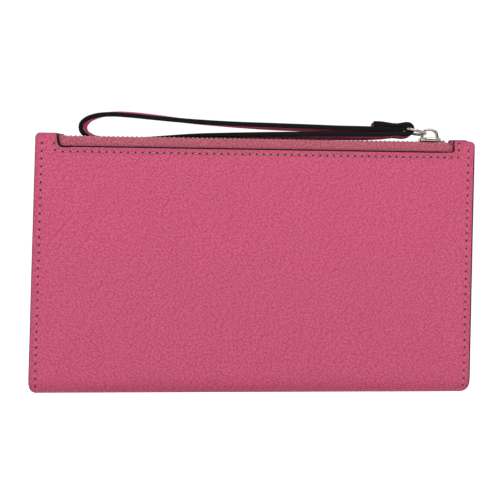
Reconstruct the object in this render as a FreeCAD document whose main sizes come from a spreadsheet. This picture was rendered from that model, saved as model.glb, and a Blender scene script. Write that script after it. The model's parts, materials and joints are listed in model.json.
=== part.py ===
import FreeCAD, Part
import math
import os
import re
from types import SimpleNamespace

import Sketcher
from FreeCAD import Placement, Rotation, Vector

# Wristlet wallet: a long two-fold leather wallet that stands on its fold, closed.
# +X runs along the wallet, +Y from the zipped rear half to the front half, +Z up.
# The origin is the middle of the base. Lengths are in millimetres, angles in degrees.
DIMENSIONS = {
    # the closed wallet
    "wallet_width": 190.0,
    "body_height": 111.0,
    "front_height": 108.5,
    "closed_depth": 18.0,
    "leather": 1.3,
    "cloth": 0.4,
    "top_corner": 2.0,
    "base_corner": 3.5,
    "inner_base": 2.5,
    # the cut-out along the top of the two panels that hold the zipper
    "ear_width": 9.5,
    "notch_depth": 5.6,
    # layers of the rear half, counted from the rear face
    "rear_lining_at": 1.75,
    "divider_lining_at": 6.35,
    "divider_at": 7.3,
    "slip_pocket_at": 8.7,
    "slip_pocket_thick": 0.8,
    "slip_pocket_height": 56.0,
    # layers of the front half, counted from the rear face
    "card_tier_at": 9.8,
    "card_leather": 0.8,
    "card_tier_step": 0.9,
    "card_base_at": 12.5,
    "card_base_thick": 0.9,
    "bill_lining_at": 14.8,
    "board_at": 15.3,
    "board_thick": 1.2,
    "card_width": 88.5,
    "card_gap": 3.0,
    "card_first_height": 50.0,
    "card_height_step": 15.0,
    # folded side gussets of the zipped pocket
    "gusset_edge": 0.5,
    "gusset_gap": 0.05,
    "gusset_seam": 1.0,
    "gusset_fold": 6.5,
    "gusset_leather": 0.7,
    "gusset_top": 104.0,
    # fold at the base
    "spine_width": 14.8,
    "spine_half_length": 92.0,
    # zipper
    "zip_at": 4.3,
    "tape_cloth": 0.45,
    "tape_at": 109.5,
    "tape_bottom": 100.0,
    "tape_half_length": 88.0,
    "tooth_pitch": 2.0,
    "tooth_width": 1.05,
    "tooth_reach": 1.4,
    "tooth_height": 2.1,
    "tooth_grip": 0.6,
    "tooth_bottom": 108.75,
    "chain_slit": 0.8,
    "chain_start": 83.0,
    "tooth_count": 81,
    "stop_length": 1.2,
    "stop_gap": 0.5,
    # slider, closed position
    "slider_start": 71.0,
    "slider_length": 9.4,
    "slider_half_width": 3.3,
    "slider_plate": 0.85,
    "slider_play": 0.25,
    "slider_top_at": 111.1,
    "slider_lower_half_width": 2.35,
    "slider_lower_at": 107.6,
    "slider_flange": 0.35,
    "post_width": 0.4,
    "post_length": 3.2,
    "post_at": 75.6,
    "arch_length": 8.8,
    "arch_height": 4.85,
    "arch_width": 2.0,
    "arch_wall": 1.1,
    "arch_corner": 2.4,
    # D-shaped ring and wrist strap
    "ring_wire": 1.2,
    "ring_reach": 9.4,
    "ring_half_width": 5.4,
    "ring_corner": 1.1,
    "ring_apex_x": 74.6,
    "ring_apex_z": 114.9,
    "ring_tilt": 3.0,
    "strap_yaw": 3.3,
    "strap_width": 9.0,
    "strap_thick": 2.1,
    "strap_tail": 14.8,
    "strap_eye": 1.05,
    "rivet_at": 5.0,
    "rivet_post": 1.2,
    "rivet_head": 2.15,
    "rivet_dome": 0.6,
    # lines of stitching
    "thread": 0.15,
    "thread_width": 0.5,
    "notch_seam_offset": 2.3,
    "side_seam_offset": 2.7,
    "seam_base": 4.0,
    "seam_end": 1.2,
    # concealed magnetic closure
    "magnet_radius": 6.0,
    "magnet_height": 90.0,
    "magnet_thick": 1.1,
}

doc = FreeCAD.newDocument("WristletWallet")
sheet = doc.addObject("Spreadsheet::Sheet", "Dimensions")
for row, (alias, size) in enumerate(DIMENSIONS.items(), start=1):
    sheet.set(f"A{row}", str(size))
    sheet.setAlias(f"A{row}", alias)
doc.recompute()
dim = SimpleNamespace(**{alias: sheet.get(alias) for alias in DIMENSIONS})
ALIAS = re.compile(r"\b(" + "|".join(sorted(DIMENSIONS, key=len, reverse=True)) + r")\b")

NODES = []
REAR = "-closed_depth / 2"


def formula(text):
    """Point every size named in a formula at its cell in the sheet."""
    return ALIAS.sub(r"Dimensions.\1", text)


def bind(item, **formulas):
    """Tie properties of an object to formulas on the sheet."""
    for name, text in formulas.items():
        item.setExpression(name, formula(text))


def place(item, x="0", y="0", z="0"):
    """Put an object's own origin at x, y, z."""
    for axis, text in (("x", x), ("y", y), ("z", z)):
        item.setExpression(f"Placement.Base.{axis}", formula(text))


def node(item, label):
    item.Label = label
    NODES.append(item)
    return item


def mirror_x(corners):
    """The same corners on the other side of the wallet, in the same order."""
    return [(f"-({u})", v) for u, v in corners]


def block(label, x, y, z, length, width, height):
    """A rectangular piece with its low corner at x, y, z."""
    item = doc.addObject("Part::Box", label)
    bind(item, Length=length, Width=width, Height=height)
    place(item, x, y, z)
    return item


def plane_of(body, role):
    return next(item for item in body.Origin.OriginFeatures if item.Role == role)


def outline(body, name, role, corners):
    """A closed outline whose every corner is tied to the sheet."""
    sketch = body.newObject("Sketcher::SketchObject", name)
    sketch.AttachmentSupport = [(plane_of(body, role), "")]
    sketch.MapMode = "FlatFace"
    count = len(corners)
    turns = [2 * math.pi * index / count for index in range(count)]
    start = [Vector(50 * math.cos(turn), 50 * math.sin(turn), 0) for turn in turns]
    for index in range(count):
        sketch.addGeometry(Part.LineSegment(start[index], start[(index + 1) % count]), False)
    for index in range(count):
        sketch.addConstraint(Sketcher.Constraint("Coincident", index, 2, (index + 1) % count, 1))
    for index, corner in enumerate(corners):
        for kind, text in zip(("DistanceX", "DistanceY"), corner):
            datum = sketch.addConstraint(Sketcher.Constraint(kind, -1, 1, index, 1, 1.0))
            sketch.setExpression(f"Constraints[{datum}]", formula(text))
    return sketch


def pad(label, role, corners, length, reverse=True):
    """A body padded from an outline; reverse makes XZ outlines grow towards +Y."""
    body = doc.addObject("PartDesign::Body", label)
    sketch = outline(body, label + "_outline", role, corners)
    solid = body.newObject("PartDesign::Pad", label + "_pad")
    solid.Profile = sketch
    solid.Reversed = reverse
    solid.setExpression("Length", formula(length))
    sketch.Visibility = False
    return body


def round_edges(body, direction, radius, test):
    """Fillet the edges of a body that run along a direction and pass the test."""
    doc.recompute()
    base = body.Tip
    names = []
    for index, edge in enumerate(base.Shape.Edges, start=1):
        if len(edge.Vertexes) < 2:
            continue
        run = edge.Vertexes[1].Point - edge.Vertexes[0].Point
        middle = (edge.Vertexes[1].Point + edge.Vertexes[0].Point) * 0.5
        along = run.Length > 1e-6 and abs(run.normalize().dot(direction)) > 0.999
        if along and test(middle):
            names.append(f"Edge{index}")
    fillet = body.newObject("PartDesign::Fillet", f"{body.Name}_round{len(body.Group)}")
    fillet.Base = (base, names)
    fillet.setExpression("Radius", formula(radius))
    return fillet


def feature(label, shape, placement=None):
    item = doc.addObject("Part::Feature", label)
    item.Shape = shape
    if placement is not None:
        item.Placement = placement
    return item


# ---------------------------------------------------------------- outer panels

ALONG_X, ALONG_Y, ALONG_Z = Vector(1, 0, 0), Vector(0, 1, 0), Vector(0, 0, 1)
HALF = "wallet_width / 2"


def notched_panel(label, layer, base):
    """A panel whose top is cut down between two ears to show the zipper."""
    notch = "body_height - notch_depth"
    inner = f"{HALF} - ear_width"
    right = [(inner, notch), (inner, "body_height"), (HALF, "body_height"), (HALF, base)]
    left = mirror_x(right)[::-1]
    body = pad(label, "XZ_Plane", left + right, "leather")
    edge = dim.wallet_width / 2 - 0.1
    round_edges(body, ALONG_Y, "top_corner", lambda p: abs(p.x) > edge and p.z > 100)
    round_edges(body, ALONG_Y, "base_corner", lambda p: abs(p.x) > edge and p.z < 10)
    place(body, y=f"{REAR} + {layer}")
    return node(body, label)


def plain_panel(label, layer, base, top, thick, inset="0", corner="top_corner"):
    """A rectangular leather panel with rounded corners."""
    side = f"{HALF} - {inset}"
    corners = [(f"-({side})", base), (side, base), (side, top), (f"-({side})", top)]
    body = pad(label, "XZ_Plane", corners, thick)
    round_edges(body, ALONG_Y, corner, lambda p: True)
    place(body, y=f"{REAR} + {layer}")
    return node(body, label)


notched_panel("rear_cover", "0", "0")
notched_panel("divider_panel", "divider_at", "inner_base")
plain_panel("front_cover", "closed_depth - leather", "0", "front_height", "leather")

# ---------------------------------------------------------------- fold at the base

node(block("spine_leather", "-spine_half_length", "-spine_width / 2", "0",
           "2 * spine_half_length", "spine_width", "leather"), "spine_leather")
node(block("spine_lining", "-spine_half_length + 2", "-spine_width / 2 + 0.3", "leather",
           "2 * spine_half_length - 4", "spine_width - 0.6", "cloth"), "spine_lining")

# ---------------------------------------------------------------- linings and gussets

LINING_SIDE = f"{HALF} - 9"
LINING_TOP = "body_height - notch_depth + 0.6"
for label, layer in (("pocket_lining_rear", "rear_lining_at"),
                     ("pocket_lining_divider", "divider_lining_at")):
    lining = block(label, f"-({LINING_SIDE})", f"{REAR} + {layer}", "inner_base",
                   f"2 * ({LINING_SIDE})", "cloth", f"{LINING_TOP} - inner_base")
    node(lining, label)


def gusset(label, side):
    """A strip folded inward in a V that closes one side of the zipped pocket."""
    rear = f"{REAR} + leather + gusset_gap"
    far = f"{REAR} + divider_at - gusset_gap"
    middle = f"{REAR} + (leather + divider_at) / 2"
    edge = f"{side} * ({HALF} - gusset_edge)"
    seam_line = f"{side} * ({HALF} - gusset_edge - gusset_seam)"
    fold = f"{side} * ({HALF} - gusset_fold)"
    inner_fold = f"{side} * ({HALF} - gusset_fold - gusset_leather)"
    corners = [(edge, rear), (seam_line, rear), (inner_fold, middle), (seam_line, far), (edge, far),
               (edge, f"{far} - gusset_leather"), (fold, middle), (edge, f"{rear} + gusset_leather")]
    body = pad(label, "XY_Plane", corners, "gusset_top - inner_base", reverse=False)
    place(body, z="inner_base")
    return node(body, label)


gusset("gusset_left", "-1")
gusset("gusset_right", "1")

node(block("slip_pocket", f"-({HALF} - 6)", f"{REAR} + slip_pocket_at", "4",
           "wallet_width - 12", "slip_pocket_thick", "slip_pocket_height"), "slip_pocket")

# ---------------------------------------------------------------- front half, inside

for column, side in (("left", "-"), ("right", "")):
    for tier in range(3):
        start = "-card_gap / 2 - card_width" if side else "card_gap / 2"
        label = f"card_slot_{column}_{tier + 1}"
        height = f"card_first_height + {tier} * card_height_step"
        node(block(label, start, f"{REAR} + card_tier_at + {tier} * card_tier_step", "4",
                   "card_width", "card_leather", height), label)

plain_panel("card_base_panel", "card_base_at", "inner_base", "front_height - 1",
            "card_base_thick", inset="1")
node(block("bill_pocket_lining", f"-({HALF} - 4)", f"{REAR} + bill_lining_at", "inner_base",
           "wallet_width - 8", "cloth", "front_height - 5"), "bill_pocket_lining")


def disc(label, radius, thick, y):
    """A flat disc that lies parallel to the panels."""
    item = doc.addObject("Part::Cylinder", label)
    bind(item, Radius=radius, Height=thick)
    item.Placement = Placement(Vector(), Rotation(ALONG_X, -90))
    place(item, "0", y, "magnet_height")
    return item


board = block("board_blank", f"-({HALF} - 5)", f"{REAR} + board_at", "4",
              "wallet_width - 10", "board_thick", "front_height - 8")
seat = disc("board_hole", "magnet_radius + 0.2", "board_thick + 2", f"{REAR} + board_at - 1")
stiffener = doc.addObject("Part::Cut", "front_stiffener")
stiffener.Base = board
stiffener.Tool = seat
node(stiffener, "front_stiffener")
node(disc("closure_magnet", "magnet_radius", "magnet_thick", f"{REAR} + board_at + 0.05"),
     "closure_magnet")
node(disc("closure_plate", "magnet_radius", "cloth", f"{REAR} + divider_at - cloth - 0.1"),
     "closure_plate")

# ---------------------------------------------------------------- zipper

ZIP_Y = f"{REAR} + zip_at"
ROW_INNER = "chain_slit / 2"
ROW_OUTER = "(chain_slit / 2 + tooth_reach)"
TAPE_TOP = "(tape_at + tape_cloth)"


def tape(label, side):
    """A woven tape: sewn down inside its panel, turned in at the top to meet the teeth."""
    wall = f"{side} * (zip_at - leather)"
    inner = f"{side} * (zip_at - leather - tape_cloth)"
    row = f"{side} * {ROW_OUTER}"
    corners = [(wall, "tape_bottom"), (wall, TAPE_TOP), (row, TAPE_TOP),
               (row, "tape_at"), (inner, "tape_at"), (inner, "tape_bottom")]
    body = pad(label, "YZ_Plane", corners, "2 * tape_half_length", reverse=False)
    outer_edge = side * (dim.zip_at - dim.leather)
    round_edges(body, ALONG_X, "tape_cloth + 0.2",
                lambda p: abs(p.y - outer_edge) < 0.01 and p.z > dim.tape_at)
    place(body, "-tape_half_length", ZIP_Y)
    return node(body, label)


def tooth_row(label, side, shift):
    """One row of identical metal teeth, each clamped over the edge of its tape."""
    slot = f"{side} * ({ROW_OUTER} - tooth_grip)"
    outer = f"{side} * {ROW_OUTER}"
    inner = f"{side} * {ROW_INNER}"
    top = "tooth_bottom + tooth_height"
    corners = [(inner, "tooth_bottom"), (inner, top), (outer, top), (outer, TAPE_TOP),
               (slot, TAPE_TOP), (slot, "tape_at"), (outer, "tape_at"), (outer, "tooth_bottom")]
    body = doc.addObject("PartDesign::Body", label)
    body.AllowCompound = True
    sketch = outline(body, label + "_outline", "YZ_Plane", corners)
    tooth = body.newObject("PartDesign::Pad", label + "_tooth")
    tooth.Profile = sketch
    bind(tooth, Length="tooth_width")
    doc.recompute()
    row = body.newObject("PartDesign::LinearPattern", label + "_row")
    row.Originals = [tooth]
    row.Direction = (plane_of(body, "X_Axis"), [""])
    bind(row, Length="tooth_pitch * (tooth_count - 1)", Occurrences="tooth_count")
    body.Tip = row
    place(body, f"-chain_start + {shift}", ZIP_Y)
    return node(body, label)


tape("zipper_tape_rear", -1)
tape("zipper_tape_front", 1)
tooth_row("zipper_teeth_rear", -1, "0")
tooth_row("zipper_teeth_front", 1, "tooth_pitch / 2")

STOP_X = "slider_start + slider_length + stop_gap"
stops = doc.addObject("Part::Compound", "zipper_top_stops")
stops.Links = [block(label, STOP_X, y, "tooth_bottom", "stop_length", "tooth_reach", "tooth_height")
               for label, y in (("top_stop_rear", f"{ZIP_Y} - {ROW_OUTER}"),
                                ("top_stop_front", f"{ZIP_Y} + {ROW_INNER}"))]
node(stops, "zipper_top_stops")
node(block("zipper_bottom_stop", "-chain_start - tooth_pitch", f"{ZIP_Y} - {ROW_OUTER}",
           "tooth_bottom", "1.3 * stop_length", f"2 * {ROW_OUTER}", "tooth_height"),
     "zipper_bottom_stop")

# ---------------------------------------------------------------- slider


def slider_plate(label, half, inner, outside, inside, lip):
    """A channel along X: a flat plate, and a flange along each side that ends at the lip."""
    corners = [(half, outside), (half, lip), (inner, lip), (inner, inside)]
    body = pad(label, "YZ_Plane", corners + mirror_x(corners)[::-1], "slider_length", reverse=False)
    place(body, "slider_start", ZIP_Y)
    return node(body, label)


PLATE_TOP = "slider_top_at + slider_plate"
LOWER_TOP = "slider_lower_at + slider_plate"
slider_plate("slider_upper_plate", "slider_half_width", f"{ROW_OUTER} + slider_play",
             PLATE_TOP, "slider_top_at", f"{TAPE_TOP} + slider_play")
slider_plate("slider_lower_plate", "slider_lower_half_width",
             "slider_lower_half_width - slider_flange",
             "slider_lower_at", LOWER_TOP, "tape_at - slider_play")
node(block("slider_post", "post_at", f"{ZIP_Y} - post_width / 2", LOWER_TOP,
           "post_length", "post_width", f"slider_top_at - ({LOWER_TOP})"), "slider_post")


def arch(label):
    """The cast bridge on the slider that the ring hangs from."""
    half = "arch_length / 2"
    hole = "arch_length / 2 - arch_wall"
    corners = [(f"-({half})", "0"), (f"-({half})", "arch_height"), (half, "arch_height"),
               (half, "0"), (hole, "0"), (hole, "arch_height - arch_wall"),
               (f"-({hole})", "arch_height - arch_wall"), (f"-({hole})", "0")]
    body = pad(label, "XZ_Plane", corners, "arch_width")
    top = dim.arch_height
    round_edges(body, ALONG_Y, "arch_corner", lambda p: abs(p.z - top) < 0.01)
    under = dim.arch_height - dim.arch_wall
    round_edges(body, ALONG_Y, "arch_corner - arch_wall", lambda p: abs(p.z - under) < 0.01)
    place(body, "slider_start + slider_length / 2", f"{ZIP_Y} - arch_width / 2", PLATE_TOP)
    return node(body, label)


arch("slider_bridge")

# ---------------------------------------------------------------- D-shaped ring

zip_y = -dim.closed_depth / 2 + dim.zip_at
apex = Vector(dim.ring_apex_x, zip_y, dim.ring_apex_z)
turn = Rotation(ALONG_Z, -dim.strap_yaw) * Rotation(ALONG_Y, dim.ring_tilt)
bar = apex + turn.multVec(Vector(-dim.ring_reach, 0, 0))


def ring_wire():
    """Centre line of the ring, its apex at the origin: straight bar, two limbs, half circle."""
    radius = dim.ring_half_width
    reach = dim.ring_reach
    bend = dim.ring_corner
    corner = bend * (1 - math.sqrt(0.5))
    centre = Vector(-radius, 0, 0)
    low = Vector(-radius, -radius, 0)
    high = Vector(-radius, radius, 0)
    low_limb = Vector(-reach + bend, -radius, 0)
    high_limb = Vector(-reach + bend, radius, 0)
    low_bar = Vector(-reach, -radius + bend, 0)
    high_bar = Vector(-reach, radius - bend, 0)
    edges = [
        Part.Arc(low, centre + Vector(radius, 0, 0), high).toShape(),
        Part.LineSegment(high, high_limb).toShape(),
        Part.Arc(high_limb, Vector(-reach + corner, radius - corner, 0), high_bar).toShape(),
        Part.LineSegment(high_bar, low_bar).toShape(),
        Part.Arc(low_bar, Vector(-reach + corner, -radius + corner, 0), low_limb).toShape(),
        Part.LineSegment(low_limb, low).toShape(),
    ]
    return Part.Wire(edges)


section = Part.Wire(Part.Circle(Vector(-dim.ring_reach, 0, 0), ALONG_Y, dim.ring_wire / 2).toShape())
path = Part.Wire(ring_wire().Edges[3:] + ring_wire().Edges[:3])
tube = path.makePipeShell([section], True, False)
node(feature("d_ring", tube, Placement(apex, turn)), "d_ring")

# ---------------------------------------------------------------- wrist strap

# Side outline of the folded strap: x to the left of the ring's bar, z above its centre.
UPPER_TOP = [(45.8, 1.85), (77.0, 2.95), (111.0, 5.3), (127.0, 6.5), (136.5, 5.0), (141.6, 0.4),
             (140.6, -2.3)]
TIP_END = (135.4, -4.0)
LOOP_HOLE = [(48.0, -1.1), (77.0, 0.85), (111.0, 3.2), (127.0, 4.4), (135.2, 3.1), (139.3, 0.3),
             (135.4, -1.9)]
LOWER_RUN = [(70.0, -4.0), (15.0, -3.15)]


def curve(points, start=None, end=None):
    """A smooth edge through the points, with a direction at each end where one is given."""
    spline = Part.BSplineCurve()
    if start is None:
        spline.interpolate(points)
    else:
        spline.interpolate(Points=points, InitialTangent=start, FinalTangent=end)
    return spline.toShape()


def wrist_strap():
    """One leather strip: wrist loop, three layers under the rivet, fold round the ring."""
    half = 1.5 * dim.strap_thick
    step = 0.5 * dim.strap_thick
    y = -dim.strap_width / 2

    def at(point):
        return Vector(-point[0], y, point[1])

    tail = dim.strap_tail
    left, right = Vector(-1, 0, 0), Vector(1, 0, 0)
    top = curve([at(p) for p in [(tail, step)] + UPPER_TOP + [TIP_END]], left, right)
    base = [at(p) for p in [TIP_END] + LOWER_RUN + [(0, -half)]]
    edges = [Part.LineSegment(a, b).toShape() for a, b in zip(base, base[1:])]
    fold = Part.Arc(at((0, -half)), at((-half, 0)), at((0, half))).toShape()
    flap = Part.LineSegment(at((0, half)), at((tail, half))).toShape()
    end = Part.LineSegment(at((tail, half)), at((tail, step))).toShape()
    outer = Part.Wire([top] + edges + [fold, flap, end])
    inside = curve([at(p) for p in LOOP_HOLE], Vector(-1, 0, 0.05), right)
    hole = Part.Wire([inside, Part.LineSegment(at(LOOP_HOLE[-1]), at(LOOP_HOLE[0])).toShape()])
    across = Vector(0, dim.strap_width, 0)
    solid = Part.Face(outer).extrude(across)
    loop = Part.Face(hole).extrude(across * 1.2)
    loop.translate(across * -0.1)
    eye = Part.makeCylinder(dim.strap_eye, dim.strap_width + 2, Vector(0, y - 1, 0), ALONG_Y)
    rivet = Part.makeCylinder(dim.rivet_post, 4 * half, Vector(-dim.rivet_at, 0, -2 * half), ALONG_Z)
    return solid.cut([loop, eye, rivet])


strap_turn = Rotation(ALONG_Z, -dim.strap_yaw)
strap_place = Placement(bar, strap_turn)
node(feature("wrist_strap", wrist_strap(), strap_place), "wrist_strap")


def rivet_head(base, up):
    """A low dome on a flat rim."""
    radius = dim.rivet_head
    dome = dim.rivet_dome
    rim = 0.25
    ball = (radius ** 2 + (dome - rim) ** 2) / (2 * (dome - rim))
    outward = ALONG_Z if up else -ALONG_Z
    sphere = Part.makeSphere(ball, base + outward * (dome - ball))
    return Part.makeCylinder(radius, dome, base, outward).common(sphere)


half_stack = 1.5 * dim.strap_thick
rivet_x = -dim.rivet_at
shank = Part.makeCylinder(dim.rivet_post, 2 * half_stack, Vector(rivet_x, 0, -half_stack), ALONG_Z)
lower_head = rivet_head(Vector(rivet_x, 0, -half_stack), False)
node(feature("rivet_post", shank.fuse(lower_head).removeSplitter(), strap_place), "rivet_post")
node(feature("rivet_cap", rivet_head(Vector(rivet_x, 0, half_stack), True), strap_place),
     "rivet_cap")

# ---------------------------------------------------------------- stitching


def seam(label, corners, y):
    """A run of thread on a panel face, drawn as one narrow closed strip."""
    body = pad(label, "XZ_Plane", corners, "thread")
    place(body, y=y)
    return node(body, label)


def band(x, low, high):
    """Corners of a vertical strip of thread from low to high, its left side at x."""
    return [(x, low), (f"{x} + thread_width", low), (f"{x} + thread_width", high), (x, high)]


REAR_FACE = f"{REAR} - thread"
low_line = "body_height - notch_depth - notch_seam_offset"
side_line = f"{HALF} - ear_width + notch_seam_offset"
seam_top = "body_height - seam_end"
notch_right = [(side_line, low_line), (side_line, seam_top),
               (f"{side_line} - thread_width", seam_top),
               (f"{side_line} - thread_width", f"{low_line} + thread_width")]
seam("thread_notch_seam", mirror_x(notch_right)[::-1] + notch_right, REAR_FACE)
for label, x in (("thread_left_seam", f"-{HALF} + side_seam_offset"),
                 ("thread_right_seam", f"{HALF} - side_seam_offset - thread_width")):
    seam(label, band(x, "seam_base", seam_top), REAR_FACE)
front_side = f"{HALF} - side_seam_offset"
front_top = "front_height - side_seam_offset"
front_outer = [(front_side, "seam_base"), (front_side, front_top)]
front_inner = [(f"{front_side} - thread_width", f"{front_top} - thread_width"),
               (f"{front_side} - thread_width", "seam_base")]
front_run = mirror_x(front_outer) + front_outer[::-1] + front_inner[::-1] + mirror_x(front_inner)
seam("thread_front_seam", front_run, "closed_depth / 2")
seam("thread_card_seam", band("-thread_width / 2", "seam_base", "card_first_height"),
     f"{REAR} + card_base_at - thread")

# ---------------------------------------------------------------- check and write

doc.recompute()
for item in doc.Objects:
    if {"Invalid", "Error"} & set(item.State):
        raise RuntimeError(f"{item.Label} failed: {item.State}")
labels = [item.Label for item in NODES]
if len(set(labels)) != len(labels):
    raise RuntimeError("two nodes share a name")
for item in NODES:
    if item.Shape.isNull() or not item.Shape.isValid() or item.Shape.Volume <= 0:
        raise RuntimeError(f"{item.Label} has no valid shape")

os.makedirs("parts", exist_ok=True)
for item in NODES:
    item.Shape.exportStep(f"parts/{item.Label}.step")
    box = item.Shape.BoundBox
    print(f"{item.Label:24s} solids {len(item.Shape.Solids):3d} volume {item.Shape.Volume:9.1f} "
          f"x {box.XMin:7.2f}..{box.XMax:7.2f} y {box.YMin:6.2f}..{box.YMax:6.2f} "
          f"z {box.ZMin:6.2f}..{box.ZMax:6.2f}")
print(f"{len(NODES)} nodes; ring bar at {bar.x:.3f}, {bar.y:.3f}, {bar.z:.3f}")
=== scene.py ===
"""A folded wristlet wallet in pebbled leather: two covers round a soft spine, a zip pocket
along a notched top edge, card slots inside, nickel hardware and a looped wrist strap."""

import json
import math

import bpy
import numpy as np
from bpy.props import FloatProperty, FloatVectorProperty, IntProperty, PointerProperty
from mathutils import Matrix, Vector, geometry, noise


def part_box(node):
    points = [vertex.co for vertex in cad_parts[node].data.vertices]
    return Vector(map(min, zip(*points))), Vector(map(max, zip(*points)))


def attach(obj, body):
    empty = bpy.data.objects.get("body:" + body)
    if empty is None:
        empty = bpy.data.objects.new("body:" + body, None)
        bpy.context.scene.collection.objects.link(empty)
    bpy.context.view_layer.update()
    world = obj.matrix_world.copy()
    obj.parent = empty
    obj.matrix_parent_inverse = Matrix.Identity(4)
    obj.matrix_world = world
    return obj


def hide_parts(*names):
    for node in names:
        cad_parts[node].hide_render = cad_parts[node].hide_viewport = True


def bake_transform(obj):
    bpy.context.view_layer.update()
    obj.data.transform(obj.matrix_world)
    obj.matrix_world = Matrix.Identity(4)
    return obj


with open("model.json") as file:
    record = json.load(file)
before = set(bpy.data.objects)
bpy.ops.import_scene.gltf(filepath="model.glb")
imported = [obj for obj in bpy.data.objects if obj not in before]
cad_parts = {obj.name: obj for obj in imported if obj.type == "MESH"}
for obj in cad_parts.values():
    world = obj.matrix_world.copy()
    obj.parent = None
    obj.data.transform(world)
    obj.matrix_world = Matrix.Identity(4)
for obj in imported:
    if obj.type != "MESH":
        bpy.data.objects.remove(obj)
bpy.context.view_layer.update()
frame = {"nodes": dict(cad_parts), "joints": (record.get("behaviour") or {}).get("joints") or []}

bl_info = {
    "name": "Wristlet Wallet",
    "version": (1, 0, 0),
    "blender": (4, 5, 0),
    "location": "3D View > Sidebar > Wallet",
    "description": "Dresses the wallet's frame in leather, lining, zip, hardware and strap",
    "category": "Add Mesh",
}

MM = 0.001
UP = np.array([0, 0, 1.0])

# measures that several pieces share
STRAIGHT_AT = 111 * MM  # the height at which a leaning panel is in its true place
NOTCH_HALF = 85.5 * MM
NOTCH_FLOOR = 105.4 * MM
SIDE_SEAM = 92.1 * MM
SEAM_STEP = 0.6 * MM

# finishes of a cut sheet's front face, edge and back face
LEATHER_BOTH_SIDES = ["pink_leather", "edge_paint", "pink_leather"]
LEATHER_LINED = ["pink_leather", "edge_paint", "lining_weave"]
CLOTH = ["lining_weave"] * 3
METAL = ["nickel_plate"] * 3


# ---------------------------------------------------------------- sizes and colours


def measure(name, description, millimetres):
    return FloatProperty(
        name=name, description=description, default=millimetres * MM, unit="LENGTH",
        precision=5,
    )


class WalletSizes(bpy.types.PropertyGroup):
    """Lengths and counts that a maker would change."""

    leather: measure("Leather thickness", "Cover leather with its backing", 1.3)
    fold_radius: measure("Fold radius", "Outside radius of a cover's turn into the spine", 7.5)
    lean: FloatProperty(
        name="Lean", description="How far the soft panels slump sideways per unit of height",
        default=0.0185,
    )
    ripple: measure("Ripple", "Height of the slow waves in the covers", 0.22)
    stitch_pitch: measure("Stitch pitch", "Distance between stitch holes", 3.05)
    thread: measure("Thread", "Thickness of the sewing thread", 0.5)
    strap_width: measure("Strap width", "Width of the wrist strap", 9.0)
    strap_thickness: measure("Strap thickness", "Thickness of one layer of the strap", 2.05)
    tooth_pitch: measure("Tooth pitch", "Distance between teeth of one zip row", 2.0)
    teeth: IntProperty(name="Teeth", description="Teeth in each zip row", default=81, min=1)


def colour(name, description, default):
    return FloatVectorProperty(
        name=name, description=description, default=default, size=3, subtype="COLOR",
        min=0, max=1,
    )


class WalletColours(bpy.types.PropertyGroup):
    """Colours of the leather, lining, thread and metal."""

    # the pebble tone holds a painted highlight of the grain's sheen, and the valley tone holds
    # painted shade in its creases
    pebble: colour("Pebbles", "Top of the leather's grain", (0.560, 0.084, 0.182))
    valley: colour("Valleys", "Creases between the pebbles", (0.445, 0.034, 0.101))
    inside: colour("Inner strap face", "Smoother face of the strap", (0.53, 0.062, 0.16))
    paint: colour("Edge paint", "Paint on cut leather edges", (0.0035, 0.004, 0.004))
    lining: colour("Lining", "Woven lining cloth", (0.012, 0.011, 0.013))
    tape: colour("Zip tape", "Herringbone zip tape", (0.42, 0.088, 0.13))
    thread: colour("Thread", "Sewing thread", (0.40, 0.17, 0.17))
    # painted shade that stands for the inside of a needle hole
    hole: colour("Needle holes", "Shadowed needle holes", (0.055, 0.008, 0.018))
    nickel: colour("Nickel", "Slider, ring and rivet", (0.36, 0.325, 0.29))
    teeth: colour("Zip teeth", "Moulded metal teeth", (0.26, 0.25, 0.215))


# ---------------------------------------------------------------- shader writing


class Signal:
    """A socket in a finish; arithmetic on it adds Math nodes."""

    def __init__(self, finish, socket):
        self.finish, self.socket = finish, socket

    def math(self, operation, *values):
        return self.finish.add(
            "ShaderNodeMath", {"operation": operation}, dict(enumerate(values))
        )

    def __add__(self, other):
        return self.math("ADD", self, other)

    def __sub__(self, other):
        return self.math("SUBTRACT", self, other)

    def __rsub__(self, other):
        return self.math("SUBTRACT", other, self)

    def __mul__(self, other):
        return self.math("MULTIPLY", self, other)

    __radd__, __rmul__ = __add__, __mul__

    def fraction(self):
        return self.math("FRACT", self)

    def size(self):
        return self.math("ABSOLUTE", self)

    def sine(self):
        return self.math("SINE", self)

    def between(self, low, high):
        """0 below low, 1 above high, and a smooth step between them."""
        return self.finish.add(
            "ShaderNodeMapRange", {"interpolation_type": "SMOOTHSTEP"},
            {"Value": self, "From Min": low, "From Max": high},
        )


class Shading:
    """A node tree, and the one way that nodes are added to it."""

    def __init__(self, tree):
        self.tree = tree

    def add(self, kind, settings=(), sockets=(), output=0):
        node = self.tree.nodes.new(kind)
        for key, value in dict(settings).items():
            setattr(node, key, value)
        for key, value in dict(sockets).items():
            self.feed(node.inputs[key], value)
        return Signal(self, node.outputs[output])

    def feed(self, socket, value):
        if isinstance(value, Signal):
            self.tree.links.new(value.socket, socket)
        else:
            socket.default_value = value

    def mix(self, factor, first, second):
        """A colour between first and second."""
        ends = [(*c, 1) if isinstance(c, (tuple, list)) else c for c in (first, second)]
        return self.add(
            "ShaderNodeMix", {"data_type": "RGBA"},
            {0: factor, 6: ends[0], 7: ends[1]}, 2,
        )


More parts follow.
